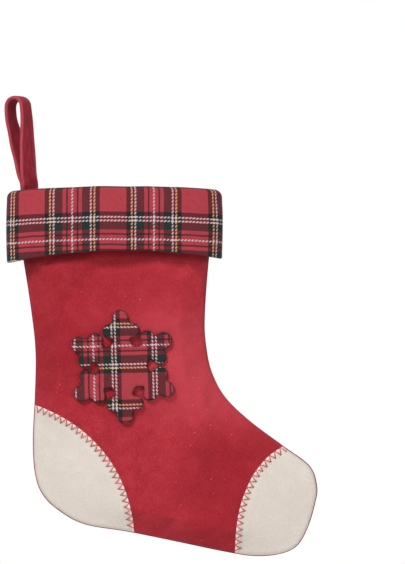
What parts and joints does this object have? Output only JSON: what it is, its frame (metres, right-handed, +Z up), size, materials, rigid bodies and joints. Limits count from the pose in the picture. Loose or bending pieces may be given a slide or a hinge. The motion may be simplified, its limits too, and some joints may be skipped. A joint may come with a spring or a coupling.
{
  "type": "hanging stocking",
  "caption": "Small felt hanging stocking with a tartan turn-up cuff, cream heel and toe patches, a raised tartan snowflake and a tape loop to hang it by.",
  "frame": {"origin": "where a hook bears, on the inside of the top of the hanging loop", "axes": "+Z up along the leg, +X towards the toe, -Y the decorated front and +Y the flat back"},
  "size_m": [0.1565, 0.0248, 0.2292],
  "materials": {
    "red_felt": "soft matt red felt",
    "cream_felt": "soft matt cream felt",
    "backing_felt": "stiff dark felt",
    "tartan": "brushed twill-woven tartan in red, dark green, white and yellow",
    "loop_tape": "folded dark red woven tape",
    "red_thread": "twisted red sewing thread"
  },
  "bodies": {
    "loop": {"hanging_loop": "loop_tape"},
    "stocking": {"loop_tail_front": "loop_tape", "loop_tail_rear": "loop_tape", "loop_bartack": "red_thread", "front_panel": "red_felt", "back_panel": "red_felt", "heel_patch": "cream_felt", "toe_patch": "cream_felt", "snowflake_backing": "backing_felt", "snowflake_face": "tartan", "cuff_front": "tartan", "cuff_back": "tartan", "heel_zigzag_stitches": "red_thread", "toe_zigzag_stitches": "red_thread", "side_seam_thread": "red_thread", "cuff_seam_thread": "red_thread", "cuff_side_seam_rear": "red_thread", "cuff_side_seam_front": "red_thread"}
  },
  "joints": [
    {"name": "loop_swing", "type": "hinge", "parent": "loop", "child": "stocking", "pos_m": [0.00592, -0.001, -0.04232], "axis": [1, 0, 0], "range_deg": [-60, 60]}
  ]
}
